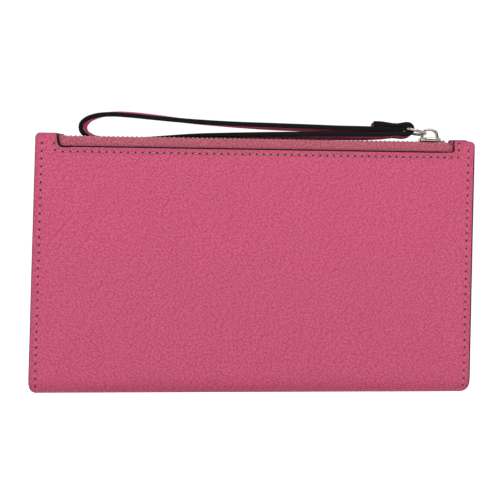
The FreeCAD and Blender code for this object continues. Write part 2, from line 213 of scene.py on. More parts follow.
class Finish(Shading):
    """A material with one main shader."""

    def __init__(self, name, **sockets):
        self.material = bpy.data.materials.new(name)
        self.material.use_nodes = True
        super().__init__(self.material.node_tree)
        self.shader = self.tree.nodes["Principled BSDF"]
        for key, value in sockets.items():
            self.shader.inputs[key.replace("_", " ")].default_value = value

    def surface(self, **sockets):
        """The material, with these sockets of its shader fed."""
        for key, value in sockets.items():
            self.feed(self.shader.inputs[key.replace("_", " ")], value)
        return self.material

    def vector(self, operation, place, other, socket=1):
        return self.add(
            "ShaderNodeVectorMath", {"operation": operation}, {0: place, socket: other}
        )

    def scale(self, place, amount):
        return self.vector("SCALE", place, amount, "Scale")

    def flat(self):
        """Millimetres over the uncut leather or cloth."""
        return self.scale(self.add("ShaderNodeUVMap", {"uv_map": "Flat"}), 1 / MM)

    def solid(self):
        """Millimetres in the space that the piece itself sits in."""
        return self.scale(self.add("ShaderNodeTexCoord", output=3), 1 / MM)

    def along_and_up(self, place):
        node = self.add("ShaderNodeSeparateXYZ", (), {0: place}).socket.node
        return Signal(self, node.outputs[0]), Signal(self, node.outputs[1])

    def mapped(self, place, scale):
        return self.add("ShaderNodeMapping", (), {"Vector": place, "Scale": scale})

    def tones(self, factor, shade, dark, light):
        """A colour between two strengths of one shade."""
        return self.mix(factor, scaled(shade, dark), scaled(shade, light))

    def noise(self, place, scale, detail=3, roughness=0.5, output=0):
        return self.add(
            "ShaderNodeTexNoise", (),
            {"Vector": place, "Scale": scale, "Detail": detail, "Roughness": roughness},
            output,
        )

    def bump(self, height, distance, strength):
        return self.add(
            "ShaderNodeBump", (),
            {"Height": height, "Distance": distance, "Strength": strength},
        )


def scaled(shade, amount):
    return tuple(min(1.0, channel * amount) for channel in shade)


def warped(finish, place, scale, reach):
    """place, pushed about by slow noise so that nothing on it runs dead straight."""
    drift = finish.noise(place, scale, 2, output=1)
    push = finish.vector("SUBTRACT", drift, (0.5, 0.5, 0.5))
    return finish.vector("ADD", place, finish.scale(push, reach))


def pebbled(finish, place):
    """Height of the embossed grain: small drawn-out pebbles in wavy slanting rows."""
    wavy = warped(finish, warped(finish, place, 0.03, 6.0), 0.3, 0.6)
    layers = []
    for turn, stretch, loose in ((-0.62, 1.65, 0.8), (0.2, 1.3, 0.9)):
        drawn = finish.add(
            "ShaderNodeMapping", {"vector_type": "TEXTURE"},
            {"Vector": wavy, "Rotation": (0, 0, turn), "Scale": (stretch, 0.85, 1)},
        )
        domes = finish.add(
            "ShaderNodeTexVoronoi", {"feature": "F1", "voronoi_dimensions": "2D"},
            {"Vector": drawn, "Scale": 1.15, "Randomness": loose},
        )
        layers.append(1 - domes.between(0.06, 0.66))
    return layers[0] * 0.7 + layers[1] * 0.3


def make_leather(name, top, valley, gloss=0.46, shine=0.5):
    """Pebbled leather: pebble tops painted paler as a painted highlight of their sheen, valleys
    painted darker as painted shade, and a darker rim near cut edges.
    """
    finish = Finish(name, Specular_IOR_Level=shine)
    place = finish.flat()
    pebbles = pebbled(finish, place)
    fine = finish.noise(place, 2.6, 3, 0.6)
    slow = finish.noise(place, 0.045, 3, 0.55)
    # pebble tops take the paler tone as painted highlight and valleys take the darker tone as
    # painted shade; the pebble pattern itself is the grain
    grain_and_sheen = finish.mix(pebbles.between(0.0, 0.92), valley, top)
    grain_and_sheen = finish.mix(slow.between(0.3, 0.75) * 0.08, grain_and_sheen, scaled(valley, 0.9))
    # the leather is made darker within a few millimetres of a cut edge
    edge = finish.add("ShaderNodeAttribute", {"attribute_name": "edge"}, output=2)
    near_edge = 1 - edge.between(0.6 * MM, 2.6 * MM)
    return finish.surface(
        Base_Color=finish.mix(near_edge * 0.3, grain_and_sheen, scaled(valley, 0.8)),
        Roughness=gloss + 0.1 - pebbles * 0.16 + fine * 0.08,
        Normal=finish.bump(pebbles + fine * 0.3, 0.26 * MM, 0.75),
    )


def make_paint(name, shade):
    """Glossy edge paint with a few pale rubbed grains."""
    finish = Finish(name, Specular_IOR_Level=0.08)
    grit = finish.noise(finish.solid(), 1.6, 4, 0.6)
    return finish.surface(
        Base_Color=finish.tones(grit.between(0.55, 0.8), shade, 1.0, 3.2),
        Roughness=0.3 + grit * 0.3,
        Normal=finish.bump(grit, 0.12 * MM, 0.6),
    )


def make_weave(name, shade, pitch):
    """Plain woven cloth: warp and weft threads passing over and under in turn."""
    finish = Finish(name, Specular_IOR_Level=0.25, Sheen_Weight=0.25)
    place = finish.flat()
    along, up = finish.along_and_up(place)
    waves = []
    for ahead, across in ((along, up), (up, along)):
        over = (ahead * (math.pi / pitch)).sine()
        ridge = (across * (2 * math.pi / pitch)).sine()
        waves.append((over * 0.5 + 0.5) * (ridge * 0.5 + 0.5))
    cloth = waves[0].math("MAXIMUM", *waves)
    slub = finish.noise(place, 0.9, 3)
    return finish.surface(
        Base_Color=finish.tones(cloth * 0.7 + slub * 0.3, shade, 0.55, 1.7),
        Roughness=0.8 - slub * 0.15,
        Normal=finish.bump(cloth + slub * 0.3, 0.12 * MM, 0.7),
    )


def make_tape(name, shade):
    """Herringbone zip tape: slanting ribs whose slant turns back column by column."""
    finish = Finish(name, Specular_IOR_Level=0.25, Sheen_Weight=0.2)
    place = finish.flat()
    along, up = finish.along_and_up(place)
    slub = finish.noise(place, 1.1, 3)
    zigzag = ((up * 0.36).fraction() - 0.5).size() * 2.4
    rib = ((along * 0.78 + zigzag + slub * 0.5).fraction() - 0.5).size() * 2
    return finish.surface(
        Base_Color=finish.tones(
            rib * 0.6 + slub.between(0.35, 0.65) * 0.45, shade, 0.42, 1.42
        ),
        Roughness=0.82 - rib * 0.1,
        Normal=finish.bump(rib + slub * 0.4, 0.16 * MM, 0.7),
    )


def make_thread(name, shade):
    """Twisted thread: fine slanting plies along each stitch."""
    finish = Finish(name, Specular_IOR_Level=0.3, Sheen_Weight=0.3)
    place = finish.flat()
    along, up = finish.along_and_up(place)
    ply = (along * 9.0 + up * 5.0).sine() * 0.5 + 0.5
    fuzz = finish.noise(place, 4.0, 2)
    return finish.surface(
        Base_Color=finish.tones(ply * 0.6 + fuzz * 0.5, shade, 0.62, 1.25),
        Roughness=0.7 + fuzz * 0.2,
        Normal=finish.bump(ply, 0.06 * MM, 0.6),
    )


def make_hole_shade(name, shade):
    """Painted shade of a needle hole: a dark, matt disc."""
    finish = Finish(name, Specular_IOR_Level=0.1)
    grit = finish.noise(finish.solid(), 3.0, 2)
    return finish.surface(
        Base_Color=finish.tones(grit, shade, 0.6, 1.5),
        Roughness=0.8 + grit * 0.1,
    )


def make_metal(name, shade, gloss, wear):
    """Plated metal: faint polishing lines, darker and duller patches, and a few dark pin spots.
    """
    finish = Finish(name, Metallic=1.0)
    place = finish.solid()
    cloud = finish.noise(place, 0.7, 4, 0.65)
    lines = finish.noise(finish.mapped(place, (0.6, 4.0, 4.0)), 2.0, 3, 0.6)
    spots = finish.add(
        "ShaderNodeTexVoronoi", {"feature": "F1"},
        {"Vector": warped(finish, place, 1.1, 0.8), "Scale": 0.75},
    )
    # the metal's colour is made darker in cloudy patches and at scattered pin spots
    pin = (1 - spots.between(0.05, 0.2)) * wear
    body = finish.tones(cloud.between(0.4, 0.75), shade, 1.0, 0.72)
    return finish.surface(
        Base_Color=finish.mix(pin, body, scaled(shade, 0.12)),
        Roughness=gloss + cloud * 0.18 + lines * 0.08,
        Normal=finish.bump(lines + cloud * 0.5, 0.03 * MM, 0.5),
    )


def make_board(name, shade):
    """Matt stiffening board with short pressed fibres."""
    finish = Finish(name, Specular_IOR_Level=0.2)
    fibre = finish.noise(finish.mapped(finish.solid(), (0.5, 1, 2.4)), 1.8, 4, 0.7)
    return finish.surface(
        Base_Color=finish.tones(fibre, shade, 0.7, 1.3),
        Roughness=0.85 - fibre * 0.1,
        Normal=finish.bump(fibre, 0.08 * MM, 0.5),
    )


BOARD_GREY = (0.32, 0.30, 0.27)
STEEL_GREY = (0.38, 0.38, 0.39)

# how each finish is made, from its name and the wallet's colours
FINISHES = {
    "pink_leather": lambda n, c: make_leather(n, tuple(c.pebble), tuple(c.valley)),
    # the strap's pebble tops and valleys carry the same painted highlight and shade, more
    # faintly
    "strap_leather": lambda n, c: make_leather(
        n, tuple(c.inside), scaled(c.inside, 0.78), gloss=0.6, shine=0.02
    ),
    "edge_paint": lambda n, c: make_paint(n, c.paint),
    "lining_weave": lambda n, c: make_weave(n, c.lining, pitch=0.55),
    "tape_herringbone": lambda n, c: make_tape(n, c.tape),
    "sewing_thread": lambda n, c: make_thread(n, c.thread),
    "needle_hole": lambda n, c: make_hole_shade(n, c.hole),
    "nickel_plate": lambda n, c: make_metal(n, c.nickel, gloss=0.06, wear=0.8),
    "tooth_metal": lambda n, c: make_metal(n, c.teeth, gloss=0.3, wear=0.3),
    "grey_board": lambda n, c: make_board(n, BOARD_GREY),
    "magnet_steel": lambda n, c: make_metal(n, STEEL_GREY, gloss=0.35, wear=0.4),
}


def finish_named(name):
    """The material of that name, made on first use."""
    found = bpy.data.materials.get(name)
    return found or FINISHES[name](name, bpy.context.scene.wallet_colours)


# ---------------------------------------------------------------- shape helpers


def arc_corner(before, here, after, radius, step):
    """Points that round one corner of a line."""
    a, b = (before - here).normalized(), (after - here).normalized()
    opening = a.angle(b)
    if radius <= 0 or opening > math.pi - 0.01:
        return [here]
    reach = radius / math.tan(opening / 2)
    centre = here + (a + b).normalized() * (radius / math.sin(opening / 2))
    start = here + a * reach - centre
    sweep = start.angle_signed(here + b * reach - centre)
    count = max(3, math.ceil(abs(sweep) * radius / step))
    turns = (Matrix.Rotation(-sweep * i / count, 2) for i in range(count + 1))
    return [centre + turn @ start for turn in turns]


def unit(rows):
    """Each row at length 1."""
    return rows / np.linalg.norm(rows, axis=-1, keepdims=True)


def lengths(line):
    """Distance along a line to each of its points."""
    steps = np.linalg.norm(np.diff(line, axis=0), axis=1)
    return np.concatenate([[0], np.cumsum(steps)])


def sampled(at, length, rows):
    """rows, one for each point of a line, read at the distances in at."""
    return np.stack([np.interp(at, length, column) for column in rows.T], -1)


def directions(line):
    return unit(np.gradient(line, axis=0))


def sideways(way):
    """Flat directions turned a quarter to their left."""
    return np.stack([-way[:, 1], way[:, 0]], 1)


def run(corners, step, closed):
    """A dense line through (a, b, radius) corners, straight runs divided too."""
    flat = [Vector(corner[:2]) for corner in corners]
    count = len(flat)
    bends = []
    for i, (_, _, radius) in enumerate(corners):
        if closed or 0 < i < count - 1:
            bends += arc_corner(
                flat[i - 1], flat[i], flat[(i + 1) % count], radius, step
            )
        else:
            bends.append(flat[i])
    pairs = zip(bends, bends[1:] + (bends[:1] if closed else []))
    line = []
    for first, last in pairs:
        parts = max(1, round((last - first).length / step))
        line += [first.lerp(last, i / parts) for i in range(parts)]
    if not closed:
        line.append(bends[-1])
    return np.array([tuple(p) for p in line])


def spaced(line, pitch):
    """Points and directions every pitch along a line, spread to fill it evenly."""
    length = lengths(line)
    count = max(1, round(length[-1] / pitch))
    at = (np.arange(count) + 0.5) * length[-1] / count
    ahead, behind = (sampled(at + gap * MM, length, line) for gap in (0.01, -0.01))
    return sampled(at, length, line), unit(ahead - behind)


def inward(loop):
    """Unit normals into a counter-clockwise loop."""
    return sideways(unit(np.roll(loop, -1, 0) - np.roll(loop, 1, 0)))


def nearest(points, line):
    """Distance from each point to the nearest point of a line."""
    best = np.full(len(points), np.inf)
    for start in range(0, len(line), 200):
        gaps = points[:, None, :] - line[None, start : start + 200, :]
        best = np.minimum(best, np.sqrt((gaps**2).sum(2)).min(1))
    return best


def within(points, loop):
    """Which points lie inside a closed loop."""
    inside = np.zeros(len(points), bool)
    for (x0, y0), (x1, y1) in zip(loop, np.roll(loop, -1, 0)):
        if y0 != y1:
            crosses = (points[:, 1] > min(y0, y1)) & (points[:, 1] <= max(y0, y1))
            at = x0 + (points[:, 1] - y0) * (x1 - x0) / (y1 - y0)
            inside ^= crosses & (points[:, 0] < at)
    return inside


def section(corners, side):
    """Carries a sheet along a line of (a, b, radius) corners; side says which way is in."""
    line = run(corners, 0.5 * MM, False)
    length = lengths(line)
    way = directions(line)
    into = -sideways(way) * side

    def carry(v, depth):
        over = np.maximum(v - length[-1], 0) + np.minimum(v, 0)
        at = sampled(v, length, line) + over[:, None] * way[-1]
        return (at + depth[:, None] * sampled(v, length, into)).T

    return carry, length[-1]


def settled(points, ripple=0.0):
    """Soft panels slump a little sideways and are never quite flat."""
    points[:, 0] += bpy.context.scene.wallet_sizes.lean * (points[:, 2] - STRAIGHT_AT)
    if ripple:
        waves = [
            noise.noise(Vector((x * 22, 3.7, z * 26)))
            + 0.4 * noise.noise(Vector((x * 60, 9.1, z * 60)))
            for x, _, z in points
        ]
        points[:, 1] += ripple * np.array(waves)
    return points


def make_object(name, points, faces, kinds, finishes, flats=None, extra=None):
    """A smooth-shaded mesh object, with its flat pattern as its UV map."""
    mesh = bpy.data.meshes.new(name)
    mesh.from_pydata([tuple(p) for p in points], [], faces)
    for finish in finishes:
        mesh.materials.append(finish_named(finish))
    mesh.polygons.foreach_set("material_index", np.array(kinds, np.int32))
    if flats is not None:
        layer = mesh.uv_layers.new(name="Flat")
        corners = np.zeros(len(mesh.loops), np.int32)
        mesh.loops.foreach_get("vertex_index", corners)
        layer.data.foreach_set("uv", np.asarray(flats, np.float32)[corners].ravel())
    for key, values in (extra or {}).items():
        attribute = mesh.attributes.new(key, "FLOAT", "POINT")
        attribute.data.foreach_set("value", np.asarray(values, np.float32))
    mesh.shade_smooth()
    mesh.update()
    piece = bpy.data.objects.new(name, mesh)
    bpy.context.scene.collection.objects.link(piece)
    return piece


def filled(loop, border, spacing, seams):
    """Triangles inside border, a closed line just within loop, with seam points kept.

    Gives the points, the triangles, and where each border point went."""
    low, high = loop.min(0), loop.max(0)
    row_step = spacing * 0.866  # gives triangles of nearly equal sides
    clear_of_border, clear_of_seam = spacing * 0.55, spacing * 0.45
    grid = []
    for k, v in enumerate(np.arange(low[1], high[1], row_step)):
        us = np.arange(low[0] + (k % 2) * spacing / 2, high[0], spacing)
        grid.append(np.stack([us, np.full(len(us), v)], 1))
    grid = np.concatenate(grid)
    grid = grid[within(grid, border)]
    grid = grid[nearest(grid, border) > clear_of_border]
    if len(seams):
        seams = np.concatenate(seams)
        grid = grid[nearest(grid, seams) > clear_of_seam]
        keep = within(seams, border) & (nearest(seams, border) > 0.3 * MM)
        grid = np.concatenate([grid, seams[keep]])
    count = len(border)
    points, _, faces, origin, _, _ = geometry.delaunay_2d_cdt(
        [Vector(p) for p in np.concatenate([border, grid])],
        [(i, (i + 1) % count) for i in range(count)], [], 1, 1e-7,
    )
    where = {source: index for index, sources in enumerate(origin) for source in sources}
    return np.array([tuple(p) for p in points]), faces, [where[i] for i in range(count)]


def sheet_mesh(
    name, corners, place, thickness, finishes, spacing=2.2 * MM, rim=None, lines=(),
    relief=None, square_foot=False, edge_step=1.0 * MM, rim_share=None,
):
    """A cut sheet: a triangulated front and back, and a rounded rim between them.

    corners is the cut's outline as (u, v, radius); place carries (u, v, depth) into space;
    lines are seam lines that get points of their own; relief sinks the front face;
    square_foot leaves the foot unrounded and unpainted, and rim_share narrows the rim."""
    rim = thickness * 0.5 if rim is None else rim
    loop = run(corners, edge_step, True)
    normal = inward(loop)
    soft = np.clip(loop[:, 1] / (3 * MM), 0.06, 1) if square_foot else np.ones(len(loop))
    if rim_share:
        soft = soft * rim_share(loop[:, 0], loop[:, 1])
    border = loop + normal * (rim * soft)[:, None]
    flat, faces, border = filled(loop, border, spacing, lines)
    count, total = len(loop), len(flat)

    # profile of the rim, from the front face round to the back
    turns = [math.pi / 2 * share for share in (1 / 3, 2 / 3, 1)]
    profile = [(1 - math.sin(turn), rim * (1 - math.cos(turn))) for turn in turns]
    profile += [(share, thickness - depth) for share, depth in reversed(profile)]
    sink = relief(flat[:, 0], flat[:, 1]) if relief else np.zeros(total)
    uv, depth = [flat, flat], [sink, np.full(total, thickness)]
    for share, level in profile:
        uv.append(loop + normal * (rim * soft * share)[:, None])
        depth.append(np.full(count, level))
    uv, depth = np.concatenate(uv), np.concatenate(depth)

    polygons = [tuple(f) for f in faces]
    polygons += [tuple(total + i for i in reversed(f)) for f in faces]
    kinds = [0] * len(faces) + [2] * len(faces)
    rings = [range(start, start + count) for start in range(2 * total, len(uv), count)]
    rings = [border, *rings, [total + i for i in border]]
    for near, far in zip(rings, rings[1:]):
        for i in range(count):
            j = (i + 1) % count
            polygons.append((near[j], near[i], far[i], far[j]))
            kinds.append(0 if square_foot and loop[i, 1] < 1 * MM else 1)
    edge = np.concatenate([nearest(uv[:total], loop)] * 2 + [np.zeros(len(uv) - 2 * total)])
    space = place(uv[:, 0], uv[:, 1], depth)
    return make_object(name, space, polygons, kinds, finishes, uv, {"edge": edge})


def ball(sides=10, rings=6, power=1.0):
    """A unit rounded form: power below 1 squares it off, 1 is a sphere."""
    def shaped(value):
        return math.copysign(abs(value) ** power, value)

    points, faces = [(0, 0, 1)], []
    for lift in (math.pi * r / rings for r in range(1, rings)):
        for turn in (2 * math.pi * s / sides for s in range(sides)):
            wide = shaped(math.sin(lift))
            points.append((
                wide * shaped(math.cos(turn)), wide * shaped(math.sin(turn)),
                shaped(math.cos(lift)),
            ))
    points.append((0, 0, -1))
    last = len(points) - 1
    for s in range(sides):
        t = (s + 1) % sides
        faces.append((0, 1 + s, 1 + t))
        for r in range(rings - 2):
            a, b = 1 + r * sides, 1 + (r + 1) * sides
            faces.append((a + s, b + s, b + t, a + t))
        a = 1 + (rings - 2) * sides
        faces.append((a + s, last, a + t))
    return np.array(points, float), faces


def many(name, forms, finishes):
    """One mesh of many small forms: (template, 3x3 axes, centre, finish index) each."""
    points, faces, kinds, flats = [], [], [], []
    start = 0
    for (template, template_faces), axes, centre, kind in forms:
        points.append(template @ np.asarray(axes, float) + np.asarray(centre, float))
        reach = np.linalg.norm(axes, axis=1)
        flats.append(template[:, :2] * reach[:2] + np.asarray(centre)[[0, 2]])
        faces += [tuple(start + i for i in f) for f in template_faces]
        kinds += [kind] * len(template_faces)
        start += len(template)
    return make_object(
        name, np.concatenate(points), faces, kinds, finishes, np.concatenate(flats)
    )


def full_turn(sides):
    """Angles evenly round a circle."""
    return np.arange(sides) * 2 * math.pi / sides


def band(near, far, sides):
    """Faces between two rings of points, whose first points are near and far."""
    return [
        (near + s, near + (s + 1) % sides, far + (s + 1) % sides, far + s)
        for s in range(sides)
    ]


def swept(name, line, into, width_axis, outline, finishes, painted, swell=None):
    """A strip swept along a line: outline is its section as (across, out) points.

    painted is how far from the middle its painted edges start."""
    count = len(outline)
    width_axis = np.broadcast_to(width_axis, line.shape)
    length = lengths(line)
    thick = np.abs(outline[:, 1]).max()
    swell = np.ones(len(line)) if swell is None else swell
    # distance from an end, and share of the full section there
    ends, shares = (0.0, 0.12 * MM, 0.35 * MM), (0.86, 0.95, 1.0)
    at = [*ends, *length[1:-1], *(length[-1] - d for d in ends)]
    at = sorted(set(a for a in at if a >= 0))
    at = [a for i, a in enumerate(at) if i == 0 or a - at[i - 1] > 1e-6]
    points, flats, faces, kinds = [], [], [], []
    for a in at:
        normal = unit(sampled(a, length, into))
        squeeze = np.interp(min(a, length[-1] - a), ends, shares)
        reach = np.maximum(np.abs(outline[:, 0]) - (1 - squeeze) * thick, 0)
        across = np.sign(outline[:, 0]) * reach
        out = outline[:, 1] * squeeze * np.interp(a, length, swell)
        middle, wide = sampled(a, length, line), sampled(a, length, width_axis)
        points += [middle + wide * w + normal * n for w, n in zip(across, out)]
        flats += [(a, w) for w in across]
    middles = np.abs(outline[:, 0] + np.roll(outline[:, 0], -1)) / 2
    for k in range(len(at) - 1):
        faces += band(k * count, (k + 1) * count, count)
        kinds += [int(middle > painted) for middle in middles]
    last = (len(at) - 1) * count
    faces += [tuple(range(count))[::-1], tuple(range(last, last + count))]
    kinds += [1, 1]
    edge = np.full(len(points), 2 * MM)
    return make_object(name, points, faces, kinds, finishes, flats, {"edge": edge})


def turned(name, profile, centre, finishes, sides=40):
    """A form turned on a lathe from (radius, height) points, about the vertical."""
    turn = full_turn(sides)
    points = np.concatenate([
        np.stack([radius * np.cos(turn), radius * np.sin(turn), np.full(sides, height)], 1)
        for radius, height in profile
    ]) + centre
    top = (len(profile) - 1) * sides
    faces = []
    for near in range(0, top, sides):
        faces += band(near, near + sides, sides)
    faces += [tuple(range(sides))[::-1], tuple(range(top, top + sides))]
    return make_object(name, points, faces, [0] * len(faces), finishes, points[:, :2])


def wire_loop(name, line, radius, finishes, sides=14):
    """Round wire bent into a closed ring."""
    way = unit(np.roll(line, -1, 0) - np.roll(line, 1, 0))
    normal = np.linalg.svd(line - line.mean(0))[2][2]
    side = np.cross(way, normal)
    turn = full_turn(sides)
    points = (
        line[:, None, :]
        + radius * np.cos(turn)[None, :, None] * side[:, None, :]
        + radius * np.sin(turn)[None, :, None] * normal
    ).reshape(-1, 3)
    faces = []
    for near in range(0, len(points), sides):
        faces += band(near, (near + sides) % len(points), sides)
    return make_object(name, points, faces, [0] * len(faces), finishes, points[:, :2])


def fit_in(piece, body, node):
    """piece rides on body and stands for the CAD node, which is hidden."""
    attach(piece, body)
    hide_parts(node)
    return piece


def dress(node, finish):
    """Gives a CAD node whose shape is right its real finish."""
    mesh = frame["nodes"][node].data
    if not mesh.materials:
        mesh.materials.append(None)
    for slot in frame["nodes"][node].material_slots:
        slot.material = finish_named(finish)


def upright(y_face, side=1, ripple=0.0):
    """Carries a flat sheet to an upright plane; side 1 faces the near side."""
    def place(u, v, depth):
        points = np.stack([u * side, np.full(len(u), y_face) + depth * side, v], 1)
        return settled(points, ripple)

    return place


def carried(carry, side=1, ripple=0.0):
    """Carries a sheet along a section; side -1 turns it to face the far side."""
    def place(u, v, depth):
        y, z = carry(v, depth)
        return settled(np.stack([u * side, y, z], 1), ripple)

    return place


def flat_panel(node, name, body, slot, outline, finishes, side=1, ripple=0.0, **cut):
    """An upright flat sheet in a CAD node's place; side 1 faces the near side."""
    low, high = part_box(node)
    place = upright(low.y if side == 1 else high.y, side, ripple)
    panel = sheet_mesh(name, outline, place, high.y - low.y, finishes, **cut)
    return fit_in(panel, body, node)


def sew(seam, body, line, place, out, stretch=1.0, girth=1.0, length=0.74, seed=5):
    """Stitches along a line of the flat pattern, with a dark disc of painted shade for the
    needle hole at each end.

    stretch and girth scale the usual pitch and thread; length is a stitch's share of
    its pitch, and out lifts the thread above the leather by about a third of its radius."""
    sizes = bpy.context.scene.wallet_sizes
    points, way = spaced(line, sizes.stitch_pitch * stretch)
    side = sideways(way)
    bar, dot = ball(8, 6, 0.8), ball(8, 4)
    hole_long, hole_wide, hole_tall, hole_lift = (v * MM for v in (0.42, 0.38, 0.1, 0.02))
    half = sizes.stitch_pitch * stretch / 2
    draw = np.random.RandomState(seed)
    forms = []
    for point, forward, left in zip(points, way, side):
        tilt = draw.uniform(-0.10, 0.10)
        ahead = forward * math.cos(tilt) + left * math.sin(tilt)
        centre = point + left * draw.uniform(-0.05, 0.05) * MM
        flat = np.array([centre - ahead * half * length, centre + ahead * half * length,
                         centre, centre, point + forward * half])
        levels = np.array([0, 0, 0, -0.1 * MM, 0])
        start, end, middle, lifted, hole = place(flat[:, 0], flat[:, 1], levels)
        along = (end - start) / 2
        up = unit(lifted - middle)
        over = unit(np.cross(along, up))
        radius = sizes.thread * girth * draw.uniform(0.46, 0.54)
        forms.append((bar, (along, over * radius, up * radius),
                      middle + up * radius * 0.35 * out, 0))
        # a small dark disc at the stitch's end is painted shade for the needle hole
        forms.append((dot, (unit(along) * hole_long, over * hole_wide, up * hole_tall),
                      hole + up * hole_lift, 1))
    stitches = many(seam + "_stitches", forms, ["sewing_thread", "needle_hole"])
    return fit_in(stitches, body, "thread_" + seam)


# ---------------------------------------------------------------- pattern of the panels


def rectangle(left, bottom, right, top, foot, head=None):
    """Outline of a rectangle; foot and head round its lower and upper corners."""
    head = foot if head is None else head
    return [(left, bottom, foot), (right, bottom, foot), (right, top, head), (left, top, head)]


def notched_top(half, top, floor, corner=2 * MM):
    """Upper outline of a panel that is cut down between two ears."""
    return [
        (half, top, corner), (NOTCH_HALF - 0.3 * MM, top, 1.0 * MM),
        (NOTCH_HALF, floor, 0.9 * MM), (-NOTCH_HALF + 1.0 * MM, floor, 1.7 * MM),
        (-NOTCH_HALF, top, 1.0 * MM), (-half, top, corner),
    ]


def dipped(left, bottom, right, top, corner, dip, slope, depth, bend):
    """Outline of a pocket whose top edge dips between the two places in dip."""
    first, last = dip
    return rectangle(left, bottom, right, top, corner)[:3] + [
        (last, top, bend), (last - slope, top - depth, bend),
        (first + slope, top - depth, bend), (first, top, bend), (left, top, corner),
    ]


def fold_ends(half):
    """Right and left lower outline of a cover, cut back so that its fold looks round."""
    # how far in from the end, how far round the fold, and radius, in millimetres
    curve = [(3.1, 0, 0), (3.0, 1.5, 1), (2.25, 2.7, 2), (1.4, 4.25, 3), (0.85, 5.4, 4),
             (0.28, 7.2, 6), (0, 9.8, 8)]
    curve = [(back * MM, v * MM, radius * MM) for back, v, radius in curve]
    right = [(half - back, v, radius) for back, v, radius in curve]
    left = [(back - half, v, radius) for back, v, radius in reversed(curve[1:])]
    return [(curve[0][0] - half, 0, 0)] + right, left


def notch_line(half, floor, top, corner=2.4 * MM, lean=0.7 * MM):
    """Seam that follows the notch, from one ear's top down, along and up again."""
    left = -half + 1.1 * MM
    return run([
        (left - lean, top, 0), (left, floor, corner),
        (half, floor, corner * 0.6), (half + 0.2 * MM, top, 0),
    ], SEAM_STEP, False)


def groove(lines, depth=0.16 * MM, reach=0.9 * MM):
    """Leather drawn down along its seams."""
    everything = np.concatenate(lines)

    def relief(u, v):
        gap = nearest(np.stack([u, v], 1), everything)
        return depth * np.exp(-((gap / reach) ** 2))

    return relief


def flanked(line, offsets=(-1.0 * MM, -0.5 * MM, 0, 0.5 * MM, 1.0 * MM)):
    """A seam line and its neighbours, so that a groove has points to bend."""
    side = sideways(directions(line))
    return [line[::2] + side[::2] * offset for offset in offsets]


class RearPattern:
    """The rear cover's flat pattern: its seams, and how it goes round its fold."""

    def __init__(self):
        low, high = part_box("rear_cover")
        sizes = bpy.context.scene.wallet_sizes
        self.half, self.ripple = high.x, sizes.ripple
        self.carry, self.length = section(
            [(0, 0, 0), (low.y, 0, sizes.fold_radius), (low.y, high.z, 0)], 1
        )
        # a height on the panel plus rise is its distance round the fold
        self.rise = self.length - high.z
        head, foot, below_notch, ear = (
            height * MM + self.rise for height in (109.8, 3.6, 103.1, 109.6)
        )
        left = run([(-SIDE_SEAM, head, 0), (-SIDE_SEAM, foot, 0)], SEAM_STEP, False)
        self.seams = {
            "notch": notch_line(87.7 * MM, below_notch, ear),
            "left": left,
            "right": left * (-1, 1),
        }

    def place(self, u, v, depth):
        """The folded place of points of the pattern; the right ear's tip droops."""
        y, z = self.carry(v, depth)
        most = 0.9 * MM
        near_end = np.clip((u - 84 * MM) / (11 * MM), 0, 1)
        near_top = np.clip((z - 100 * MM) / (10 * MM), 0, 1)
        return settled(np.stack([u, y, z - most * (near_end * near_top)], 1), self.ripple)

    def paint_width(self, u, v):
        """Share of the full rim that shows its paint from in front."""
        high = v > NOTCH_FLOOR + self.rise - 2 * MM
        at_ear = high & (np.abs(u) > 82.5 * MM) & (np.abs(u) < 88 * MM)
        below_tip = v < self.length - 0.7 * MM
        share = np.where(u > 0, 1.1, 0.55)
        share = np.where(v > self.length - 3 * MM, 0.35, share)
        share = np.where(high & (np.abs(u) < 84.5 * MM), 1.1, share)
        share = np.where(at_ear & (u < 0) & below_tip, 1.9, share)
        share = np.where(at_ear & (u > 0), 0.7, share)
        blur = np.ones(9) / 9
        around = np.concatenate([share[-4:], share, share[:4]])
        return np.convolve(around, blur, "valid")


# ---------------------------------------------------------------- operators


class WALLET_OT_covers(bpy.types.Operator):
    """Cut the two covers, each carried round its fold to the middle of the spine"""

    bl_idname = "wallet.covers"
    bl_label = "Covers"

    def execute(self, context):
        sizes = context.scene.wallet_sizes
        rim = 0.62 * MM
        pattern = RearPattern()
        right_end, left_end = fold_ends(pattern.half)
        floor = NOTCH_FLOOR + 0.3 * MM + pattern.rise
        outline = notched_top(pattern.half, pattern.length, floor)
        seams = list(pattern.seams.values())
        rear = sheet_mesh(
            "rear_cover_leather", right_end + outline + left_end, pattern.place,
            sizes.leather, LEATHER_LINED, lines=sum((flanked(s) for s in seams), []),
            relief=groove(seams), square_foot=True, rim=rim, rim_share=pattern.paint_width,
        )
        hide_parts("rear_cover", "spine_leather")
        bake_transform(rear)

        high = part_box("front_cover")[1]
        carry, length = section(
            [(0, 0, 0), (high.y, 0, sizes.fold_radius), (high.y, high.z, 0)], -1
        )
        far_place = carried(carry, -1, sizes.ripple)
        rise = length - high.z
        top = [(pattern.half, length, 3 * MM), (-pattern.half, length, 3 * MM)]
        foot, head = 4 * MM + rise, 105.6 * MM + rise
        seam = run([(-SIDE_SEAM, foot, 0), (-SIDE_SEAM, head, 1.5 * MM),
                    (SIDE_SEAM, head, 1.5 * MM), (SIDE_SEAM, foot, 0)], SEAM_STEP, False)
        front = sheet_mesh(
            "front_cover_leather", right_end + top + left_end, far_place,
            sizes.leather, LEATHER_LINED, lines=flanked(seam), relief=groove([seam]),
            square_foot=True, rim=rim,
        )
        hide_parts("front_cover")
        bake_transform(front)
        sew("front_seam", "front_half", seam, far_place, 1)
        return {"FINISHED"}


